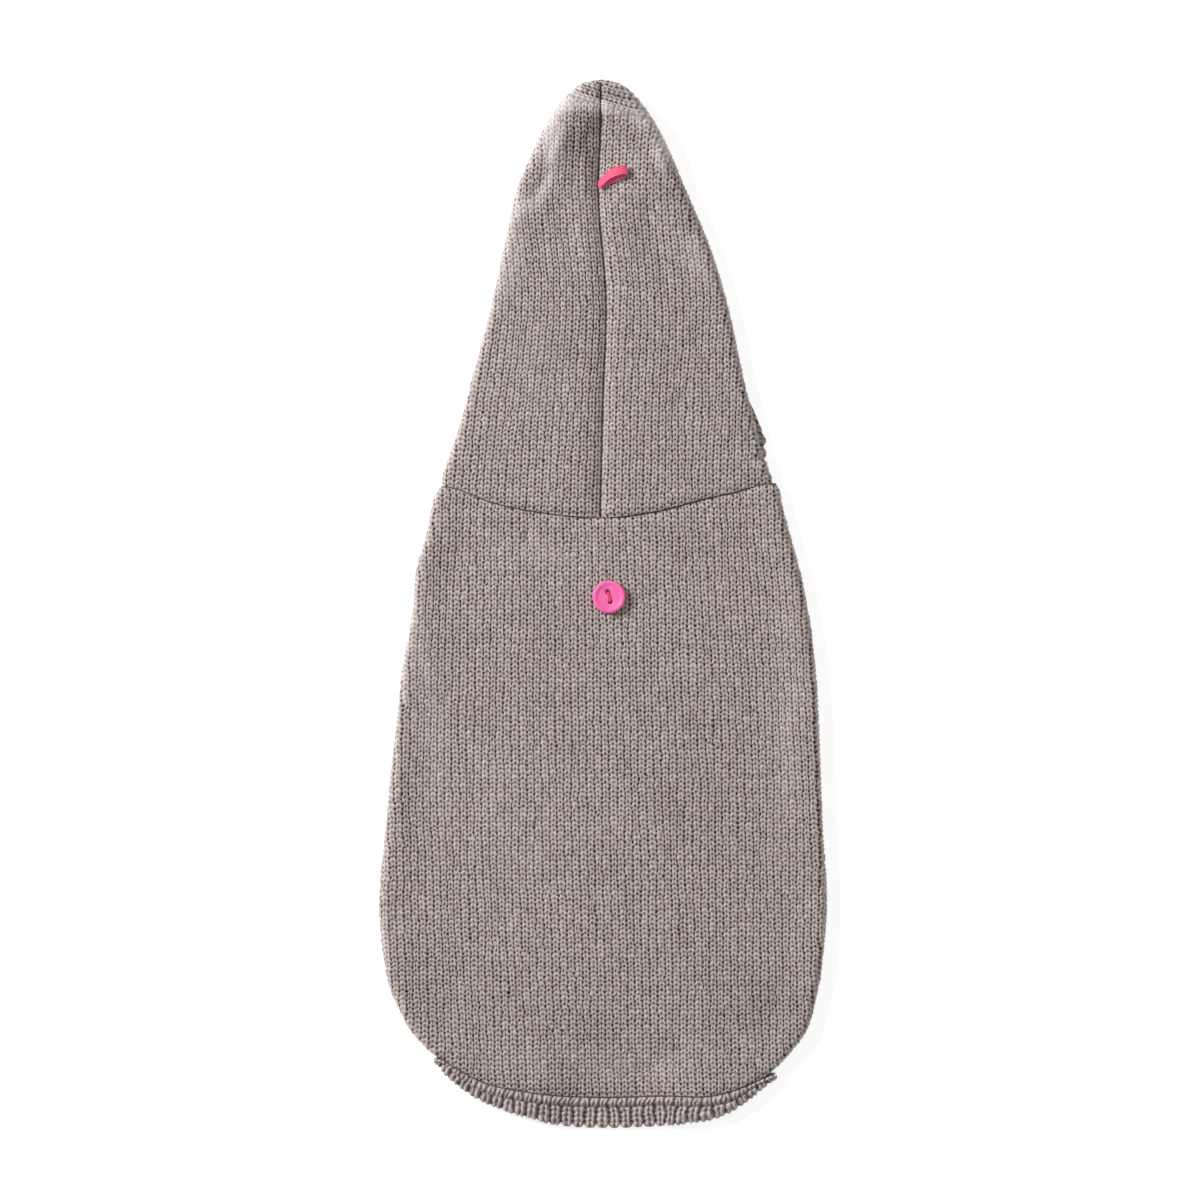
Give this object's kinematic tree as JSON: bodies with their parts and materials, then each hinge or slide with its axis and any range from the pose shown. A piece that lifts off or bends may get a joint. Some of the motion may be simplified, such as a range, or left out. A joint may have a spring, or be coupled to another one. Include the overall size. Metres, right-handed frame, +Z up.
{
  "type": "dog sweater",
  "caption": "Hooded knitted dog sweater laid flat, back up: pointed hood with a ribbon loop, round ribbed hem and a button below the neck.",
  "frame": {"origin": "on the surface it lies on, below the middle of the garment's outline", "axes": "+Y towards the tip of the hood, +X to the garment's right as seen from above, +Z up, out of the back"},
  "size_m": [0.1844, 0.4313, 0.0106],
  "materials": {
    "knit": "matte taupe-grey stocking stitch",
    "rib": "matte taupe-grey one-by-one rib",
    "ribbon": "pink ribbed ribbon, slight sheen",
    "button": "gloss pink"
  },
  "bodies": {
    "root": {"back": "knit", "belly": "knit", "hood_left": "knit", "hood_right": "knit", "face_band": "rib", "hem_band_back": "rib", "hem_band_belly": "rib", "loop": "ribbon", "button": "button"}
  },
  "joints": []
}
